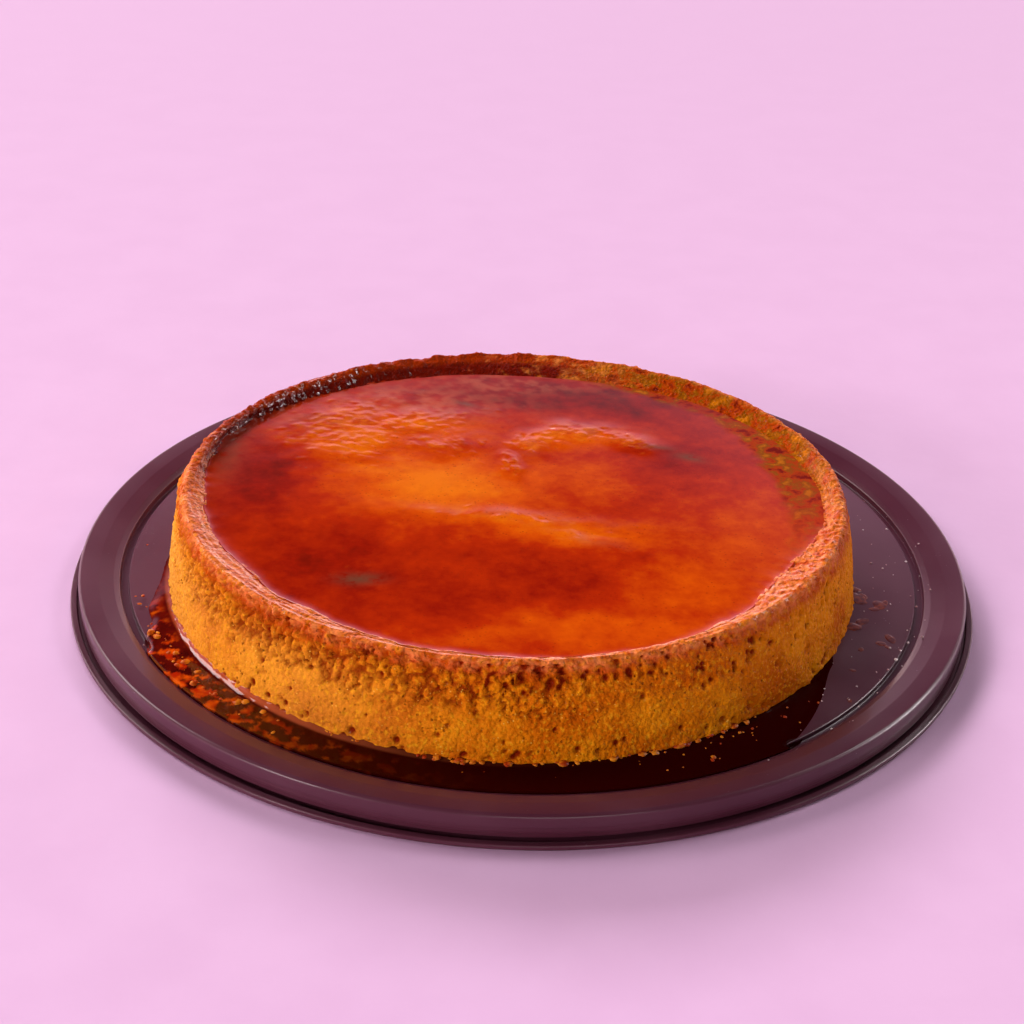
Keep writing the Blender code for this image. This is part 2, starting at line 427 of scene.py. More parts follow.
# The grain of the custard, coarser in one place at the left of the front
broad = lumps(flat_skin, 26 * MM, 2)
middling = lumps(flat_skin, 7 * MM, 3)
fine = lumps(flat_skin, 2.2 * MM, 3)
nearest, crack = pebbles(flat_skin + 0.7 * MM * fine[:, None], 2.4 * MM, (1, 1, 0.8))
coarse = bell(turning, -108, 16)
coarse_nearest, coarse_crack = pebbles(flat_skin + 1.0 * MM * fine[:, None], 3.8 * MM, (1, 1, 0.85))
nearest += (coarse_nearest - nearest) * coarse
crack += (coarse_crack - crack) * coarse
split = pebbles(flat_skin + 1.2 * MM * middling[:, None], 10 * MM)[1]
ripple = lumps(np.stack([turning * 11, 0 * turning, row * 0.55], axis=1), 1.0, 2)
ridges = lumps(np.stack([turning * 7, 0 * turning + 5, row * 0.30 + 0.5 * middling], axis=1), 1.0, 2)

# Where the upper side tore, and where a flap of its skin stayed on
left_front = np.maximum(bell(turning, -125, 42), 0.45 * bell(turning, 100, 70))
torn = left_front * smooth(up_side + 0.22 * middling, 0.38, 0.66)
torn = np.maximum(torn, bell(turning, -95, 16) * smooth(up_side + 0.2 * broad, 0.45, 0.60))
skin_edge = np.radians(-86) + 0.05 * middling + 0.03 * fine
past_edge = (turning - skin_edge + math.pi) % math.tau - math.pi
kept_skin = smooth(past_edge, -0.004, 0.004) * bell(turning, -72, 20)
kept_skin *= smooth(up_side + 0.15 * middling, 0.50, 0.56)

# Relief of the side: soft skin, lumps and splits where it tore, the flap, a ragged foot, and a knob
# on the left
rise = on_side * (0.35 * broad + 0.20 * middling + 0.20 * fine) * MM
rise += on_side * torn * (0.75 - nearest * 1.6 - 1.1 * (1 - smooth(crack, 0, 0.25))) * MM
rise -= on_side * torn * smooth(middling, -0.2, 0.4) * 1.3 * (1 - smooth(split, 0, 0.10)) * MM
rise += on_side * kept_skin * 0.55 * MM
rise += on_side * (1 - torn) * 0.45 * (0.5 - nearest) * MM
rise += on_side * (1 - smooth(up_side, 0.02, 0.16)) * (0.6 * middling + 0.4 * (0.45 - nearest)) * MM
rise += on_side * bell(turning, 177, 3.5) * np.exp(-((up_side - 0.78) / 0.10) ** 2) * 1.6 * MM

# Relief of the rim: ripples all round, ridges along the front, and lumps at the back and inside
smooth_part = np.maximum(bell(turning, 85, 75), 0.6 * bell(turning, 175, 40))
rise += on_rim * above_pool * (0.20 * middling + 0.12 * fine + 0.16 * ripple) * MM
rise += on_rim * above_pool * (1 - smooth_part) * 0.36 * ridges * MM
rise += on_rim * near_crest * bell(turning, 85, 80) * (0.40 * middling + 0.30 * fine) * MM
rise += on_rim * inner_side * bell(turning, 143, 36) * (0.50 * middling + 0.65 * fine) * MM
rise += on_rim * inner_side * bell(turning, -24, 24) * (0.45 * middling + 0.45 * fine) * MM

# Pits: bubbles at the pan's wall, and holes where lumps came away. Each group has a direction, a
# share of the height and a size, in millimetres, to draw from.
PIT_REACH = 8                # columns looked at on each side of a pit's middle
seed = np.random.default_rng(7)
pits = []
for spread, middle, low, high, size_low, size_high, count in (
    (180, 0, 0.06, 0.95, 0.5, 1.0, 150),
    (16, -84, 0.66, 0.93, 0.8, 1.9, 20),
    (9, -62, 0.62, 0.93, 0.6, 1.2, 16),
    (50, -90, 0.50, 0.95, 0.6, 1.3, 42),
    (60, -85, 0.03, 0.20, 0.7, 1.5, 46),
    (22, -40, 0.55, 0.92, 0.6, 1.4, 12),
    (24, -28, 0.15, 0.90, 0.5, 1.1, 45),
    (60, 90, 0.10, 0.90, 0.6, 1.5, 40),
):
    for _ in range(count):
        bearing = math.radians(middle + seed.uniform(-spread, spread))
        pits.append((bearing, seed.uniform(low, high), seed.uniform(size_low, size_high) * MM))
hollow = np.zeros((count_rows, FLAN_STEPS))
side_rows = slice(UNDER_FOOT, RIM_TURN)
for bearing, share, radius in pits:
    column = int(bearing / math.tau * FLAN_STEPS) % FLAN_STEPS
    near = np.arange(column - PIT_REACH, column + PIT_REACH + 1) % FLAN_STEPS
    patch = skin[side_rows][:, near]
    middle_row = np.argmin(np.abs((patch[:, PIT_REACH, 2] - FOOT) / (top[0] - FOOT) - share))
    gap = (patch - patch[middle_row, PIT_REACH]) * np.array([1, 1, seed.uniform(0.7, 1.2)])
    bowl = np.clip(1.25 - np.linalg.norm(gap, axis=2) / radius, 0, 1) * min(1, radius / (0.9 * MM))
    hollow[side_rows, near] = np.maximum(hollow[side_rows, near], bowl)
hollow = hollow.ravel()
rise -= smooth(hollow, 0, 1) * 1.3 * MM


def per_point(values):
    """Values that go row by row, put in the order of a turned piece's points."""
    return values.reshape(count_rows, FLAN_STEPS, *values.shape[1:]).swapaxes(0, 1)


points = flat_skin + outward.reshape(-1, 3) * rise[:, None]
points[:, 2] = np.maximum(points[:, 2], FOOT)
reshape(flan, per_point(points))

# Where the finish changes: stains, holes partly darkened with painted shade, painted shade in the cracks, a
# pale painted light on the left of the side, glazed parts, and where it is wet
stain = smooth(height + 2.2 * MM * middling + 1.0 * MM * fine, top - 6.5 * MM, top - 1.8 * MM)
paint(flan, "stain", per_point(np.clip(stain + on_rim, 0, 1)))
paint(flan, "rim", per_point(on_rim))
# Painted shade between the lumps where the side tore, strongest among the dark red pits at the front; it
# joins the holes in the pit mask
dark_patch = bell(turning, -90, 14) * smooth(up_side, 0.55, 0.75) + 0.4
shade_between_lumps = torn * on_side * 0.9 * smooth(nearest, 0.62, 0.85) * dark_patch
paint(flan, "pit", per_point(np.clip(hollow + shade_between_lumps, 0, 1)))
# Painted shade along the cracks where the side tore
paint(flan, "cracks", per_point(torn * on_side * (1 - smooth(crack, 0.02, 0.26))))
# Painted light: the left of the side, most near its foot, is coloured paler as if lit
lit_left_cheek = np.maximum(bell(turning, -176, 36), 0.45 * bell(turning, -128, 20))
paint(flan, "pale", per_point(on_side * lit_left_cheek * (1 - 0.7 * smooth(up_side, 0.55, 0.85))))
paint(flan, "wall", per_point(on_rim * smooth(row, CREST + 1, ABOVE_POOL)))
paint(flan, "crust", per_point(on_rim * bell(turning, 126, 56) * (0.80 + 0.20 * inner_wall)))
dry = np.clip(1.5 * np.maximum(bell(turning, 82, 36), bell(turning, 38, 30)), 0, 1)
half_dry = 0.45 * bell(turning, 178, 30) + 0.4 * bell(turning, -15, 30)
paint(flan, "wet", per_point(smooth(row, RIM_TURN, CREST + 2) * (1 - dry) * (1 - half_dry)))
paint(flan, "glaze", per_point(on_rim * inner_wall * bell(turning, -120, 75)))
paint(flan, "scars", per_point(on_rim * inner_wall * bell(turning, -20, 24)))
right_bank = np.clip(1.3 * bell(turning, 38, 42), 0, 1)
paint(flan, "bank", per_point(on_rim * (0.35 + 0.65 * inner_wall) * right_bank))


def close_ends(piece):
    """Closes both open ends of a turned piece, each to a point in its middle."""
    pick(piece)
    for low_end in (True, False):
        bpy.ops.object.mode_set(mode="EDIT")
        bpy.ops.mesh.select_mode(type="EDGE")
        bpy.ops.mesh.select_all(action="DESELECT")
        bpy.ops.mesh.select_non_manifold(extend=False)
        bpy.ops.object.mode_set(mode="OBJECT")
        ends = [edge for edge in piece.data.edges if edge.select]
        heights = [piece.data.vertices[edge.vertices[0]].co.z for edge in ends]
        limit = (min(heights) + max(heights)) / 2
        for edge, edge_height in zip(ends, heights):
            edge.select = edge_height < limit or not low_end
        for vertex in piece.data.vertices:
            vertex.select = False
        for edge in piece.data.edges:
            if edge.select:
                for corner in edge.vertices:
                    piece.data.vertices[corner].select = True
        bpy.ops.object.mode_set(mode="EDIT")
        bpy.ops.mesh.extrude_edges_move(TRANSFORM_OT_translate={"value": (0, 0, 0)})
        bpy.ops.mesh.merge(type="CENTER")
        bpy.ops.object.mode_set(mode="OBJECT")


close_ends(flan)
facing_out(flan, 80)

GOLD = (0.90, 0.285, 0.004)
OCHRE = (0.64, 0.120, 0.0004)
PAINTED_LIGHT_PALE = (1.0, 0.47, 0.065)
CREVICE = (0.46, 0.095, 0.001)
CURD = (0.96, 0.42, 0.012)
CRACK_SHADE = (0.28, 0.030, 0.001)
PAINTED_GLINT = (1.0, 0.60, 0.09)
BUBBLE = (0.42, 0.10, 0.006)
STAINED = (0.56, 0.070, 0.001)
SALMON = (1.0, 0.275, 0.075)
SCAR = (0.46, 0.028, 0.001)
GLAZE = (0.50, 0.060, 0.004)
PIT_STAIN_AND_SHADE = (0.25, 0.016, 0.0006)
DARK_CRUST = (0.36, 0.028, 0.001)
LIGHT_CRUST = (0.50, 0.080, 0.002)
WALL_FOOT = (0.15, 0.005, 0.0004)

shader, place = finish_of(flan, "baked_custard", Specular_IOR_Level=0.02, Coat_IOR=1.45,
                          Coat_Roughness=0.10)
clouds = place.speckle(16 * MM, 4).between(0.3, 0.7)
curds = place.speckle(1.3 * MM, 3).between(0.50, 0.72)
crevices = place.speckle(2.0 * MM, 4, 0.65).between(0.46, 0.30)
stain, rim, bank, pit = (place.painted(name) for name in ("stain", "rim", "bank", "pit"))
bubbles = place.spots(1.9 * MM).between(0.24, 0.10) * place.speckle(7 * MM).between(0.42, 0.62)
colour = clouds.blend(OCHRE, GOLD)
# Painted light: paler on the left of the side
colour = (place.painted("pale") * 0.75).blend(colour, PAINTED_LIGHT_PALE)
colour = (crevices * 0.45).blend(colour, CREVICE)
colour = (curds * 0.65).blend(colour, CURD)
# Painted shade in the cracks
colour = place.painted("cracks").blend(colour, CRACK_SHADE)
# Tiny pale specks: painted highlights on the grain
painted_glints = place.spots(1.5 * MM).between(0.20, 0.07) * place.speckle(5 * MM, 3).between(0.46, 0.60)
colour = (painted_glints * 0.8).blend(colour, PAINTED_GLINT)
colour = (bubbles * 0.8 * (1 - rim)).blend(colour, BUBBLE)
rim_colour = (rim * place.speckle(3 * MM, 3).between(0.3, 0.7)).blend(STAINED, SALMON)
colour = (stain * place.speckle(2.4 * MM, 4).between(0.20, 0.62)).blend(colour, rim_colour)
scars = place.painted("scars") * place.speckle(2.6 * MM, 3, 0.6).between(0.50, 0.62)
colour = (scars * 0.85).blend(colour, SCAR)
mottle = place.speckle(6 * MM, 4, 0.6)
bank_colour = mottle.node("ShaderNodeValToRGB", {"stops": (
    (0.34, (0.17, 0.007, 0.001)),
    (0.46, (0.46, 0.050, 0.001)),
    (0.55, (0.27, 0.075, 0.001)),
    (0.68, (0.60, 0.165, 0.003)),
)}, {0: mottle})
colour = bank.blend(colour, bank_colour)
colour = (place.painted("glaze") * mottle.between(0.35, 0.6) * 0.7).blend(colour, GLAZE)
light_patches = place.speckle(4.5 * MM, 4, 0.6).between(0.56, 0.72)
crust_colour = light_patches.blend(DARK_CRUST, LIGHT_CRUST)
crust_colour = (place.painted("wall") + mottle * 0.4).between(0.45, 0.95).blend(crust_colour, WALL_FOOT)
colour = (place.painted("crust") * (1.15 - mottle)).between(0.18, 0.42).blend(colour, crust_colour)
# Dark red in the holes: partly their own colour, partly painted shade, with painted shade between the lumps
colour = (pit * place.speckle(4 * MM, 3).between(0.25, 0.60)).between(0.15, 0.80).blend(colour, PIT_STAIN_AND_SHADE)
glints = place.spots(1.7 * MM).between(0.22, 0.06) * place.speckle(4 * MM, 2).between(0.45, 0.6)
grain = place.speckle(1.1 * MM, 3) + place.spots(1.3 * MM) * -0.6
lead(
    shader,
    Base_Color=colour,
    Roughness=0.50 - rim * 0.26 - pit * 0.1 + curds * 0.06,
    Coat_Weight=place.painted("wet") * 0.75 + glints * 0.7,
    Normal=place.bumped(bubbles * -1.0, 0.40 * MM, place.bumped(grain, 0.75 * MM)),
)
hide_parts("flan")
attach(flan, "root")

# ---------------------------------------------------------------- Caramel
# Clear burnt-sugar caramel that ran down off the pan's floor and lies level inside the rim. It is
# deep red where it is deep and orange where the custard comes close under it or breaks through.

POOL_STEPS = 640
POOL_ROWS = 122
CLIMB = 0.48 * MM            # how high the caramel creeps up the rim
SHALLOWS = (                 # x, y, half width, half depth, turn in degrees, strength
    (-30, -5, 34, 22, -12, 1.00),
    (-58, 22, 24, 16, 25, 0.75),
    (-36, 40, 26, 12, -10, 0.60),
    (18, 30, 26, 8, 8, 0.70),
    (4, -30, 42, 9, -8, 0.75),
    (10, 2, 26, 14, 0, 0.45),
    (24, -92, 38, 12, 2, 0.58),
    (52, -66, 26, 20, 30, 0.45),
    (70, -40, 22, 34, 0, 0.35),
    (-8, -98, 26, 6, 0, 0.45),
)
DEEPS = (                    # where the caramel is deep, as in the table above
    (-86, -4, 12, 30, 0, 0.65),
    (-60, -62, 24, 22, -40, 0.42),
    (8, -64, 22, 12, 0, 0.28),
    (-20, -78, 30, 12, 0, 0.30),
    (20, 66, 60, 16, -4, 0.7),
    (52, 28, 20, 24, 0, 0.40),
)
BUMPS = (                    # where the custard comes up to the surface
    (-62, 34, 20, 24, -15, 1.0),
    (-40, 42, 20, 12, 10, 1.0),
    (-30, 26, 16, 10, 0, 0.6),
    (-5, 12, 4, 9, 0, 0.8),
    (4, 28, 9, 7, 45, 1.1),
    (18, 36, 12, 6, 10, 1.4),
    (34, 30, 10, 5, -35, 1.2),
    (-4, -26, 32, 4.5, -6, 0.55),
    (14, -35, 14, 4.0, -20, 0.5),
)
PAINTED_HAZE_PLACES = (                    # pale patches of painted reflection haze
    (-40, 58, 34, 16, -6, 1.0),
    (-72, 40, 16, 18, 30, 0.8),
    (-8, 76, 34, 9, 0, 0.8),
    (21, 38, 18, 6, -6, 1.0),
    (2, 26, 5, 9, 0, 0.6),
    (-6, -24, 30, 3.5, -8, 0.6),
    (18, -36, 15, 3, -25, 0.6),
)
SMUDGES = (                  # dull greyish marks
    (-49, -68, 6.5, 3.2, 5, 1.0),
    (56, 20, 5.0, 2.6, -25, 0.9),
    (45, 27, 6.0, 2.0, -10, 0.7),
    (-100, 14, 5, 22, 0, 0.55),
    (-22, 58, 5, 2, -30, 0.8),
)


def heaps(points, places):
    """How strongly each point lies in the oval places."""
    total = np.zeros(len(points))
    for x, y, half_width, half_depth, turn, strength in places:
        lean = math.radians(turn)
        dx, dy = points[:, 0] - x * MM, points[:, 1] - y * MM
        wide = (dx * math.cos(lean) + dy * math.sin(lean)) / (half_width * MM)
        deep = (dy * math.cos(lean) - dx * math.sin(lean)) / (half_depth * MM)
        total = np.maximum(total, strength * np.exp(-(wide ** 2 + deep ** 2)))
    return total


def seen_from_above(points):
    """Where points lie on plan, how far each is led astray, and the bumps and rough custard there."""
    plan = points * np.array([1, 1, 0])
    astray = [lumps(plan, 18 * MM, 2), lumps(plan + 1.0, 18 * MM, 2), np.zeros(len(plan))]
    wander = np.stack(astray, axis=1) * 7 * MM
    bumps = heaps(plan + wander * 0.6, BUMPS)
    wrinkle = lumps(plan, 4.2 * MM, 3)
    return plan, wander, bumps, wrinkle, smooth(bumps + 0.45 * wrinkle, 0.30, 0.85)


# Its top, a tuck under its edge that the rim hides, and then the bumps and wrinkles
angle = round_grid(POOL_STEPS)
reach = np.concatenate([np.linspace(0.02, 0.965, POOL_ROWS - 14), np.linspace(0.969, 1.0, 14)])
shore = shore_radius(angle) + 1.6 * MM
inside = np.outer(1 - reach, shore)
climb = CLIMB * (0.12 + 0.88 * smooth(-np.sin(angle + 0.25), -0.35, 0.15))
pool_height = LEVEL + climb * (np.exp(-inside / (2.1 * MM)) + 0.3 * np.exp(-inside / (0.5 * MM)))
tuck_radius = np.stack([shore + 0.8 * MM, shore - 2 * MM, 0.3 * shore])
tuck_height = np.stack([np.full_like(shore, LEVEL + drop * MM) for drop in (-0.1, -1.8, -1.8)])
pool_radius = np.concatenate([np.outer(reach, shore), tuck_radius])
pool_height = np.concatenate([pool_height, tuck_height])
outline = list(zip(pool_radius[:, 0].tolist(), pool_height[:, 0].tolist()))
pool = turned("caramel", outline, POOL_STEPS)

across = FLAN_X + pool_radius * np.cos(angle)
along = FLAN_Y + pool_radius * np.sin(angle)
pool_points = np.stack([across, along, pool_height], axis=2).transpose(1, 0, 2).reshape(-1, 3)
on_top = np.tile((np.arange(len(pool_radius)) < POOL_ROWS).astype(float), POOL_STEPS)
plan, wander, bumps, wrinkle, breaks = seen_from_above(pool_points)
cells = pebbles(plan + wander * 0.25, 3.6 * MM)[0]
swell = lumps(plan, 10 * MM, 2, (0.7, 1.0, 1))
pool_points[:, 2] += on_top * (0.34 * bumps + 0.20 * bumps * swell + 0.07 * breaks * (0.4 + wrinkle)) * MM
pool_points[:, 2] += on_top * breaks * (0.24 * (0.5 - cells) + 0.16 * lumps(plan, 2.6 * MM, 2)) * MM
pool_points[:, 2] += on_top * 0.010 * MM * lumps(plan, 30 * MM, 1)
reshape(pool, pool_points)
close_ends(pool)

# Where its colour changes
plan, wander, bumps, wrinkle, breaks = seen_from_above(points_of(pool))
shallow = heaps(plan + wander, SHALLOWS) - 0.8 * heaps(plan + wander, DEEPS)
paint(pool, "shallow", 0.38 + 0.55 * shallow + 0.10 * lumps(plan, 9 * MM, 3))
paint(pool, "breaks", breaks)
patchy = smooth(lumps(plan, 5 * MM, 3) + 0.5 * lumps(plan + 3.0, 12 * MM, 2), -0.5, 0.5)
# Painted reflection: pale haze painted on the caramel where the backdrop would show in it
paint(pool, "milk", heaps(plan + wander * 0.6, PAINTED_HAZE_PLACES) * patchy)
paint(pool, "smudge", heaps(plan + wander * 0.1, SMUDGES))
pool_turn = np.arctan2(plan[:, 1] - FLAN_Y, plan[:, 0] - FLAN_X)
pool_reach = np.hypot(plan[:, 0] - FLAN_X, plan[:, 1] - FLAN_Y)
off_bank = 1 - np.maximum(bell(pool_turn, 12, 30), 0.5 * bell(pool_turn, 60, 22))
bank_edge = 87 * MM + 2.5 * MM * lumps(plan, 11 * MM, 3) + 6 * MM * off_bank
paint(pool, "bank", smooth(pool_reach, bank_edge - 1.5 * MM, bank_edge + 3.0 * MM)
      * np.maximum(bell(pool_turn, 18, 34), bell(pool_turn, 62, 20)))
facing_out(pool, 80)

PAINTED_HAZE = (0.52, 0.115, 0.050)
FLECK = (0.22, 0.014, 0.001)
BLOT = (0.22, 0.006, 0.001)
SMUDGE = (0.16, 0.045, 0.022)
BARE_CURD = (0.80, 0.20, 0.01)

shader, place = finish_of(pool, "clear_caramel", Specular_IOR_Level=0.0, Roughness=0.5, Coat_IOR=1.46,
                          Coat_Roughness=0.03)
depth = place.painted("shallow") + place.speckle(3 * MM, 5, 0.6) * 0.30 - 0.16
colour = depth.node("ShaderNodeValToRGB", {"stops": (
    (0.00, (0.12, 0.004, 0.001)),
    (0.22, (0.29, 0.008, 0.001)),
    (0.42, (0.45, 0.022, 0.001)),
    (0.66, (0.64, 0.073, 0.001)),
    (0.90, (0.80, 0.165, 0.002)),
)}, {0: depth})
# Painted reflection haze
colour = (place.painted("milk") * 0.6).blend(colour, PAINTED_HAZE)
flecks = place.spots(1.7 * MM).between(0.24, 0.10) * place.speckle(9 * MM, 3).between(0.40, 0.60)
colour = (flecks * 0.50).blend(colour, FLECK)
blots = place.speckle(1.6 * MM, 4, 0.7).between(0.60, 0.74) * place.speckle(14 * MM, 3).between(0.48, 0.62)
colour = (blots * 0.55).blend(colour, BLOT)
smudge = place.painted("smudge") * place.speckle(3 * MM, 3).between(0.25, 0.55)
colour = smudge.blend(colour, SMUDGE)
curd = place.painted("breaks") * place.speckle(2.0 * MM, 3, 0.5, (0.5, 1, 1)).between(0.35, 0.65)
colour = (curd * 0.35).blend(colour, BARE_CURD)
sunken = place.speckle(5 * MM, 4, 0.6)
bank_colour = sunken.node("ShaderNodeValToRGB", {"stops": (
    (0.36, (0.15, 0.005, 0.001)),
    (0.47, (0.38, 0.034, 0.001)),
    (0.56, (0.22, 0.055, 0.001)),
    (0.68, (0.46, 0.120, 0.002)),
)}, {0: sunken})
colour = place.painted("bank").blend(colour, bank_colour)
lead(shader, Base_Color=colour, Coat_Weight=1 - place.painted("bank") * 0.8)
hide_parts("caramel_pool")
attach(pool, "root")

# ---------------------------------------------------------------- Syrup
# Thin caramel that ran down the side and lies round the foot. The groove holds it in front, it
# creeps up the custard, and it ends in a round tongue at each side.

SYRUP_LEVEL = syrup_high.z
SYRUP_STEPS = 520
SYRUP_START, SYRUP_END = math.radians(-184), math.radians(-25)
SYRUP_ROWS = 44

# How far it spreads from the foot, in rows across it at each direction round the flan
bearing = np.linspace(SYRUP_START, SYRUP_END, SYRUP_STEPS)
foot_edge = FOOT_RADIUS - 1.6 * MM
near = np.stack([FLAN_X + foot_edge * np.cos(bearing), FLAN_Y + foot_edge * np.sin(bearing)], axis=1)
plate_bearing = np.arctan2(near[:, 1], near[:, 0])
near_radius = np.hypot(near[:, 0], near[:, 1])
degrees = np.degrees(bearing)
edge_noise = lumps(np.stack([bearing * 6, bearing * 0, bearing * 0], axis=1), 1.0, 3)
edge_fine = lumps(np.stack([bearing * 14, bearing * 0, bearing * 0], axis=1), 1.0, 3)
left_reach = smooth(degrees + 4 * edge_noise, -186, -166)
right_reach = np.clip((-26 - degrees) / 25, 0, 1)
far_limit = RIM_EDGE_RADIUS - 0.05 * MM
spread = np.minimum(left_reach * 0.35 + 0.65 * smooth(degrees + 5 * edge_noise, -172, -148), right_reach)
far_radius = near_radius + (0.03 + 0.97 * spread) * (far_limit - near_radius)
share = np.concatenate([np.linspace(0, 0.30, 16), np.linspace(0.33, 0.90, 16), np.linspace(0.92, 1, 12)])
syrup_radius = near_radius + np.outer(share, far_radius - near_radius)
from_foot = np.maximum(0, syrup_radius - near_radius - 1.6 * MM)
from_edge = far_radius - syrup_radius
free_edge = 1 - smooth(far_radius, far_limit - 0.8 * MM, far_limit - 0.1 * MM)

# Its height: thin towards both tongues, creeping up the custard, and rounded down at a free edge
creep = (1.5 + 0.7 * edge_noise + 0.9 * edge_fine) * bell(bearing, -135, 31)
creep += 0.2 * bell(bearing, -50, 18) + 0.2
thinner = np.maximum(1 - smooth(-degrees, 26, 80), 1 - smooth(degrees, -186, -152))
thinning = SYRUP_LEVEL - (SYRUP_LEVEL - FIELD - 0.22 * MM) * thinner
bed_height = FIELD - (FIELD - GROOVE_FLOOR) * smooth(
    syrup_radius, GROOVE_INNER_RADIUS - 0.5 * MM, GROOVE_INNER_RADIUS + 0.8 * MM)
round_over = (1.6 + 2.6 * thinner) * MM
drop = (thinning - bed_height + 0.06 * MM) * np.exp(-(from_edge / round_over) ** 2) * free_edge
syrup_height = thinning + creep * MM * np.exp(-from_foot / (0.95 * MM)) - drop
syrup_height += 0.35 * MM * np.exp(-from_edge / (0.6 * MM)) * (1 - free_edge)

bpy.ops.object.select_all(action="DESELECT")
bpy.ops.mesh.primitive_grid_add(x_subdivisions=SYRUP_STEPS - 1, y_subdivisions=SYRUP_ROWS - 1, size=2)
syrup = bpy.context.object
syrup.name = syrup.data.name = "foot_syrup"
flat = points_of(syrup)
column = np.rint((flat[:, 0] + 1) / 2 * (SYRUP_STEPS - 1)).astype(int)
line = np.rint((flat[:, 1] + 1) / 2 * (SYRUP_ROWS - 1)).astype(int)
radius, turning, off_foot = syrup_radius[line, column], plate_bearing[column], from_foot[line, column]
shape = np.stack([radius * np.cos(turning), radius * np.sin(turning), syrup_height[line, column]], axis=1)
film = bell(turning, -158, 30)
bits = lumps(shape * np.array([1, 1, 0]), 4.2 * MM, 4)
at_foot = np.exp(-off_foot / (2.5 * MM)) * bell(turning, -52, 18)
paint(syrup, "film", film)
# Where it climbs the foot, a pinkish colour: partly custard through the thin film, partly a painted tint
# under its highlight
paint(syrup, "climbing", bell(turning, -138, 27) * (1 - smooth(off_foot, 0.9 * MM, 1.9 * MM)))
paint(syrup, "gloss", np.clip(0.015 + 0.92 * bell(turning, -143, 26) + 0.2 * at_foot, 0, 1))
paint(syrup, "bits", smooth(bits, 0.0, 0.30) * bell(turning, -141, 21) * smooth(off_foot, 1.5 * MM, 5.0 * MM))
shape[:, 2] += 0.03 * MM * film * lumps(shape, 3 * MM, 2)
reshape(syrup, shape)

# Its underside, on the field and in the groove
bpy.ops.object.mode_set(mode="EDIT")
bpy.ops.mesh.select_all(action="SELECT")
bpy.ops.mesh.extrude_region_move(TRANSFORM_OT_translate={"value": (0, 0, 0)})
bpy.ops.object.mode_set(mode="OBJECT")
under = points_of(syrup)
lower = np.array([vertex.select for vertex in syrup.data.vertices])
under_radius = np.hypot(under[:, 0], under[:, 1])
in_groove = (under_radius > GROOVE_INNER_RADIUS) & (under_radius < RIM_EDGE_RADIUS)
bed = np.where(in_groove, GROOVE_FLOOR, FIELD)
under[lower, 2] = np.minimum(bed, under[:, 2] - 0.05 * MM)[lower]
reshape(syrup, under)
facing_out(syrup, 80)

SYRUP_DEEP = (0.028, 0.0006, 0.0006)
SYRUP_THIN = (0.17, 0.008, 0.002)
SYRUP_CLIMB_FILM_AND_SHEEN = (0.56, 0.135, 0.045)
BITS_RED = (0.48, 0.028, 0.001)
BITS_ORANGE = (0.86, 0.165, 0.003)

shader, place = finish_of(syrup, "thin_syrup", Specular_IOR_Level=0.0, Coat_IOR=1.5, Coat_Roughness=0.04,
                          Coat_Tint=(1.0, 0.72, 0.70, 1.0))
streak = place.speckle(4 * MM, 4).between(0.4, 0.7)
colour = (place.painted("film") * (0.35 + streak * 0.4)).blend(SYRUP_DEEP, SYRUP_THIN)
colour = place.painted("bits").blend(colour, streak.blend(BITS_RED, BITS_ORANGE))
# Partly custard through the thin film, partly a painted highlight tint
colour = (place.painted("climbing") * 0.85).blend(colour, SYRUP_CLIMB_FILM_AND_SHEEN)
gloss = place.painted("gloss")
lead(shader, Base_Color=colour, Coat_Weight=gloss, Roughness=0.35 - gloss * 0.3)
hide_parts("syrup_puddle")
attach(syrup, "root")

# ---------------------------------------------------------------- Crumbs
# Soft bits of custard that broke off as the pan was lifted. They lie in the syrup on the left and
# cling along the foot in front.


def scattered(name, places, seed_number, grain_mm, flatness, subdivisions=2):
    """Many small lumps as one piece. Each place is x, y, z and size, in metres."""
    draw = np.random.default_rng(seed_number)
    bpy.ops.object.select_all(action="DESELECT")
    bpy.ops.mesh.primitive_ico_sphere_add(subdivisions=subdivisions, radius=1)
    pattern = bpy.context.object
    ball = points_of(pattern)
    copies = []
    for x, y, z, size in places:
        copy = pattern.copy()
        copy.data = pattern.data.copy()
        bpy.context.collection.objects.link(copy)
        turn = draw.uniform(0, math.tau)
        stretch = draw.uniform(0.7, 1.3, 3) * np.array([1, 1, flatness])
        lumpy = ball * (1 + 0.35 * lumps(ball + draw.uniform(-9, 9, 3), grain_mm, 2)[:, None])
        lumpy = lumpy * stretch * size
        turned_x = lumpy[:, 0] * math.cos(turn) - lumpy[:, 1] * math.sin(turn)
        turned_y = lumpy[:, 0] * math.sin(turn) + lumpy[:, 1] * math.cos(turn)
        reshape(copy, np.stack([turned_x + x, turned_y + y, lumpy[:, 2] + z], axis=1))
        copies.append(copy)
    bpy.data.objects.remove(pattern)
    for copy in copies:
        copy.select_set(True)
    bpy.context.view_layer.objects.active = copies[0]
    bpy.ops.object.join()
    piece = bpy.context.object
    piece.name = piece.data.name = name
    facing_out(piece, 80)
    return piece


def on_plate(degrees, radius, height):
    turn = math.radians(degrees)
    return radius * math.cos(turn), radius * math.sin(turn), height


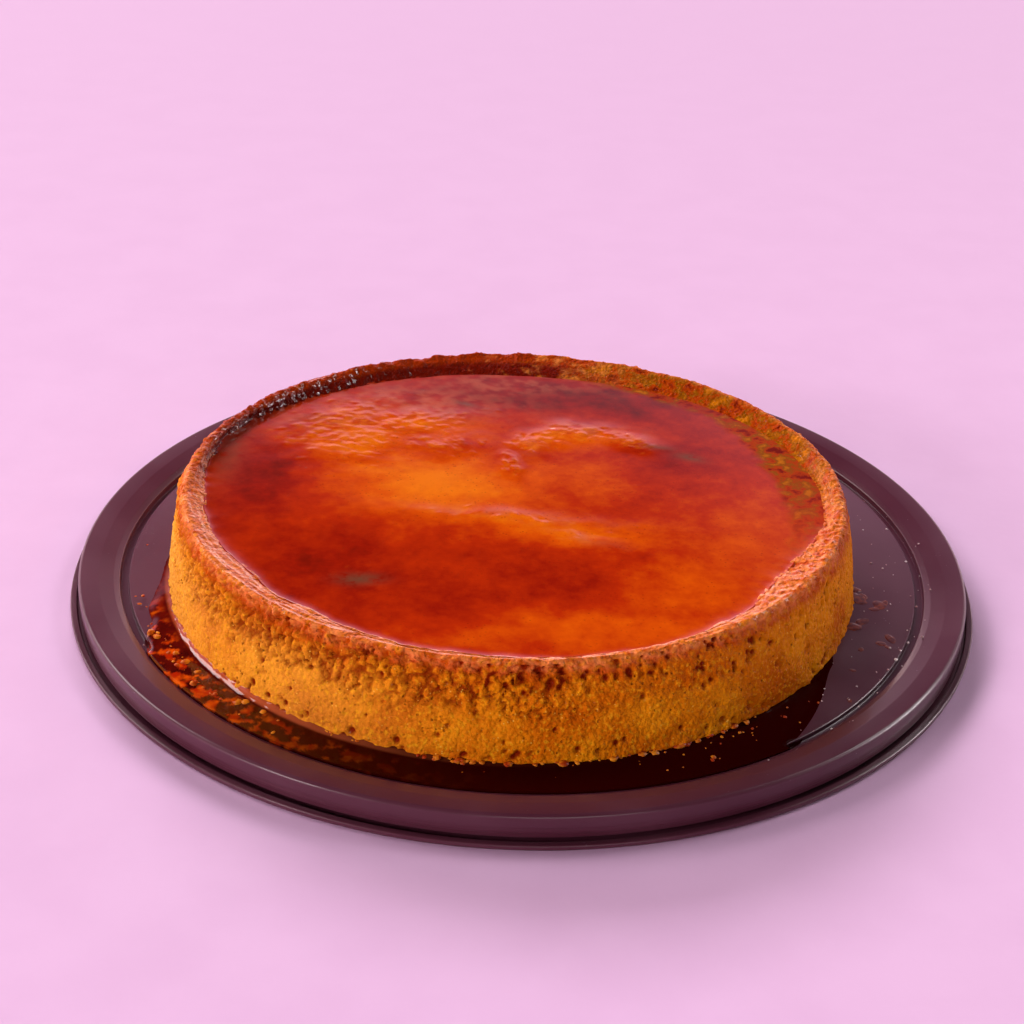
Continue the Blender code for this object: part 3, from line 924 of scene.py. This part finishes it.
AFLOAT = SYRUP_LEVEL - 0.1 * MM
seed = np.random.default_rng(21)
crumb_places = []
for _ in range(45):
    degrees = seed.normal(-143, 12)
    foot_side = 113 + 6 * abs(math.sin(math.radians(degrees + 90)))
    size = 0.35 + 1.3 * seed.random() ** 2.5
    radius = seed.uniform(foot_side + 7, 130) * MM
    crumb_places.append((*on_plate(degrees, radius, AFLOAT), size * MM))
for _ in range(90):
    turn = math.radians(seed.uniform(-118, -50))
    size = 0.4 + 1.0 * seed.random() ** 2
    radius = FOOT_RADIUS + 0.4 * size * MM
    crumb_places.append((FLAN_X + radius * math.cos(turn), FLAN_Y + radius * math.sin(turn),
                         SYRUP_LEVEL + seed.uniform(0.0, 0.8) * MM, size * MM))
for _ in range(36):
    degrees = seed.normal(-66, 17)
    foot_side = math.hypot(FOOT_RADIUS * math.cos(math.radians(degrees)) + FLAN_X,
                           FOOT_RADIUS * math.sin(math.radians(degrees)) + FLAN_Y)
    size = 0.2 + 0.5 * seed.random() ** 2
    radius = foot_side + (1.0 + 9.0 * seed.random() ** 1.6) * MM
    if radius < RIM_EDGE_RADIUS - 1.5 * MM and degrees < -42:
        crumb_places.append((*on_plate(degrees, radius, AFLOAT), size * MM))
crumbs = scattered("custard_crumbs", crumb_places, 3, 0.8, 0.5)
SOAKED = (0.42, 0.035, 0.002)
FRESH = (0.80, 0.26, 0.012)
shader, place = finish_of(crumbs, "wet_crumb", Roughness=0.40, Specular_IOR_Level=0.15)
tone = place.speckle(3 * MM, 2).between(0.35, 0.65)
lead(shader, Base_Color=tone.blend(SOAKED, FRESH))
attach(crumbs, "root")

# ---------------------------------------------------------------- Drops
# Spilt drops and smears of the same syrup on the bare right of the plate, and tiny beads painted pale and
# bright as highlights.

drop_places = []
for degrees, radius, size in (
    (-13, 119.8, 2.2), (-22, 125.7, 2.0), (-24, 124.0, 1.3), (-40, 128.5, 1.0), (-19, 115.4, 2.4),
    (-12, 112.6, 3.0), (-21, 113.2, 2.6), (-27, 119.3, 1.1), (-11, 114.0, 1.6), (-9, 111.2, 2.2),
    (-24.5, 126.4, 0.9), (-12, 121.4, 1.2), (-14.5, 118.4, 1.3), (-33, 121.5, 0.8),
):
    drop_places.append((*on_plate(degrees, radius * MM, FIELD + 0.02 * MM), size * MM))
drops = scattered("syrup_drops", drop_places, 5, 0.7, 0.05, 3)
DROP_DARK = (0.115, 0.030, 0.036)
DROP_LIGHT = (0.22, 0.050, 0.034)
shader, place = finish_of(drops, "syrup_drop", Roughness=0.30, Specular_IOR_Level=0.2)
tone = place.speckle(1.5 * MM, 3).between(0.4, 0.6)
lead(shader, Base_Color=tone.blend(DROP_DARK, DROP_LIGHT))
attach(drops, "root")

seed = np.random.default_rng(33)
bead_places = []
for _ in range(70):
    degrees, radius = seed.uniform(-60, 20), seed.uniform(114, 137)
    height = FIELD if radius < 130.5 else FIELD + 0.4 * MM + max(0, radius - 133.8) * 0.55 * MM
    bead_places.append((*on_plate(degrees, radius * MM, height), (0.15 + 0.3 * seed.random() ** 3) * MM))
for degrees, radius, size in (
    (-27, 130.6, 0.55), (-22, 131.6, 0.45), (-21, 135.3, 0.5), (-30, 130.4, 0.4),
    (-33, 130.5, 0.35), (11, 130.0, 0.5), (1, 130.4, 0.4), (5, 136.8, 0.45),
    (-12, 131.4, 0.4), (-24.5, 130.4, 0.35), (-151, 132.7, 0.4),
):
    height = FIELD if radius < 134 else FIELD + 1.7 * MM
    bead_places.append((*on_plate(degrees, radius * MM, height), size * MM))
beads = scattered("syrup_beads", bead_places, 8, 1.6, 0.7)
# The beads' pale colours are painted highlights
BEAD_GLINT_PINK = (0.55, 0.30, 0.32)
BEAD_GLINT_PALE = (0.85, 0.72, 0.72)
shader, place = finish_of(beads, "clear_bead", Roughness=0.05, IOR=1.5, Coat_Weight=1.0, Coat_Roughness=0.02)
tone = place.speckle(5 * MM, 1).between(0.4, 0.6)
lead(shader, Base_Color=tone.blend(BEAD_GLINT_PINK, BEAD_GLINT_PALE))
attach(beads, "root")

# ---------------------------------------------------------------- Studio
# A pale lilac floor and the camera above the front. A large soft light stands at the left and
# weaker ones stand round the dish. A low one far behind lights only what is dull, and a card on
# the right shows only in what is glossy.

bpy.ops.object.select_all(action="DESELECT")
bpy.ops.mesh.primitive_grid_add(x_subdivisions=8, y_subdivisions=8, size=9)
floor = bpy.context.object
floor.name = "floor"
LILAC_DARK = (0.76, 0.465, 0.72)
LILAC_LIGHT = (0.79, 0.49, 0.75)
# Painted shade: the floor is coloured darker towards the back
LILAC_SHADED_BEHIND = (0.65, 0.412, 0.625)
shader, place = finish_of(floor, "pale_floor", Roughness=0.6)
# Painted shade towards the back
shaded_to_the_back = place.node("ShaderNodeSeparateXYZ", (), {0: place}, 1).between(-0.3, 1.1)
lilac = place.speckle(0.03, 4).between(0.3, 0.7).blend(LILAC_DARK, LILAC_LIGHT)
lead(
    shader,
    Base_Color=shaded_to_the_back.blend(lilac, LILAC_SHADED_BEHIND),
    Normal=place.bumped(place.speckle(0.004, 3), 0.05 * MM),
)

SKY_FRONT = (0.15, 0.10, 0.13)
SKY_BEHIND = (0.92, 0.55, 0.76)
SKY_OVERHEAD = (0.016, 0.013, 0.015)
SKYLINE_GLOW = (3.2, 2.3, 2.3)

world = bpy.data.worlds.new("studio")
bpy.context.scene.world = world
world.use_nodes = True
sky = Wire(world.node_tree)
heading = sky.node("ShaderNodeTexCoord", (), (), "Generated")
east, north, upward = (sky.node("ShaderNodeSeparateXYZ", (), {0: heading}, axis) for axis in range(3))
backdrop = world.node_tree.nodes["Background"]
behind = (north * 0.85 - east * 0.45).between(-0.75, 0.55)
low_sky = behind.blend(SKY_FRONT, SKY_BEHIND)
glow = behind * upward.between(0.20, 0.13)
veiled = upward - east.between(0.02, 0.22) * 0.05
sky_colour = veiled.between(0.33, 0.49).blend(low_sky, SKY_OVERHEAD)
world.node_tree.links.new(glow.blend(sky_colour, SKYLINE_GLOW).socket, backdrop.inputs["Color"])


def soft_light(name, place, size, power, colour):
    lamp = bpy.data.lights.new(name, "AREA")
    lamp.shape = "RECTANGLE"
    lamp.size, lamp.size_y = size
    lamp.energy = power
    lamp.color = colour
    holder = bpy.data.objects.new(name, lamp)
    bpy.context.collection.objects.link(holder)
    holder.location = place
    holder.rotation_euler = (-Vector(place)).to_track_quat("-Z", "Y").to_euler()
    return holder


soft_light("key", (-3.30, 1.96, 2.84), (2.4, 1.9), 112, (1.0, 0.93, 0.92))
soft_light("right_back", (2.10, 1.80, 2.60), (1.1, 0.9), 31, (1.0, 0.98, 0.98))
soft_light("left_fill", (-2.80, -2.10, 1.20), (0.9, 0.7), 62, (1.0, 0.93, 0.92))
soft_light("front_fill", (0.80, -4.00, 1.15), (2.4, 1.0), 33, (1.0, 0.97, 0.94))
low_back = soft_light("low_back", (-1.95, 7.70, 3.80), (4.2, 1.6), 830, (1.0, 0.98, 0.98))
low_back.visible_glossy = False
right_card = soft_light("right_card", (3.60, 0.90, 1.65), (1.4, 1.0), 130, (1.0, 0.92, 0.94))
right_card.visible_diffuse = False

VIEW_DOWN = math.radians(28.46)
VIEW_ROLL = math.radians(1.78)
VIEW_DISTANCE = 0.6137
VIEW_SIDE, VIEW_UP = -4.1 * MM, 19.4 * MM
FOCAL_LENGTH = 63.3
aim = Vector((0, math.cos(VIEW_DOWN), -math.sin(VIEW_DOWN)))
level_right, level_up = Vector((1, 0, 0)), Vector((0, math.sin(VIEW_DOWN), math.cos(VIEW_DOWN)))
right = math.cos(VIEW_ROLL) * level_right + math.sin(VIEW_ROLL) * level_up
upright = math.cos(VIEW_ROLL) * level_up - math.sin(VIEW_ROLL) * level_right
lens = bpy.data.cameras.new("camera")
lens.lens = FOCAL_LENGTH
lens.clip_start = 0.01
camera = bpy.data.objects.new("camera", lens)
bpy.context.collection.objects.link(camera)
camera.matrix_world = Matrix.Translation(
    VIEW_SIDE * level_right + VIEW_UP * level_up - VIEW_DISTANCE * aim
) @ Matrix((right, upright, -aim)).transposed().to_4x4()
bpy.context.scene.camera = camera
bpy.context.scene.view_settings.view_transform = "Standard"
